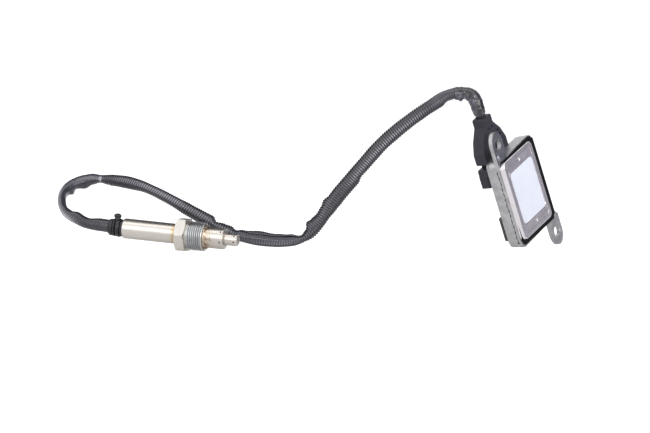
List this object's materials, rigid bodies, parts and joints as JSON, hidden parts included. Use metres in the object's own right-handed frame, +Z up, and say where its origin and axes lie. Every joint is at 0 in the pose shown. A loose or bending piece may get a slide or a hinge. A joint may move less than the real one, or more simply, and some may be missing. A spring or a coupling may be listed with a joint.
{
  "type": "nitrogen oxide sensor",
  "caption": "Exhaust nitrogen oxide sensor: a threaded steel probe wired through a corrugated loom to its boxed control module.",
  "frame": {"origin": "on the surface it lies on, under the middle of the probe and module together", "axes": "+Z up, +X from the probe's cable end towards the module, -Y the side that the module's label faces"},
  "size_m": [0.3602, 0.1036, 0.1136],
  "materials": {
    "nut_steel": "satin",
    "shell_steel": "satin, tinted by heat",
    "sleeve_steel": "brushed lengthwise",
    "guard_steel": "satin",
    "element_ceramic": "matte",
    "bush_ceramic": "matte",
    "talc": "matte",
    "contact_metal": "satin",
    "wire_insulation": "matte",
    "black_rubber": "matte",
    "black_nylon": "satin",
    "loom_plastic": "satin",
    "cable_wrap": "matte tape",
    "can_aluminium": "satin",
    "cover_aluminium": "satin",
    "label_film": "matte",
    "potting_compound": "satin",
    "board_laminate": "satin",
    "board_resin": "matte",
    "housing_plastic": "satin"
  },
  "bodies": {
    "sensor": {"sensor_shell": "shell_steel", "rear_sleeve": "sleeve_steel", "outer_guard_tube": "guard_steel", "tip_guard_tube": "guard_steel", "sensing_element": "element_ceramic", "front_ceramic_bush": "bush_ceramic", "talc_seal": "talc", "rear_ceramic_bush": "bush_ceramic", "contact_block": "bush_ceramic", "spring_contacts": "contact_metal", "lead_wires": "wire_insulation", "rubber_grommet": "black_rubber", "end_boot": "black_rubber", "boot_tie": "black_nylon", "conduit": "loom_plastic", "cable_tail": "cable_wrap", "module_can": "can_aluminium", "cover_plate": "cover_aluminium", "blank_label": "label_film", "potting_seal": "potting_compound", "circuit_board": "board_laminate", "board_parts": "board_resin", "connector_body": "housing_plastic", "cable_clamp_shell": "housing_plastic", "connector_pins": "contact_metal", "cable_seal": "black_rubber", "harness_wires": "wire_insulation", "rear_pad": "black_rubber"},
    "nut": {"gland_nut": "nut_steel"}
  },
  "joints": [
    {"name": "nut_turn", "type": "hinge", "parent": "sensor", "child": "nut", "pos_m": [-0.09678, -0.0379, 0.01037], "axis": [0.9366, -0.3409, -0.081], "continuous": true}
  ]
}
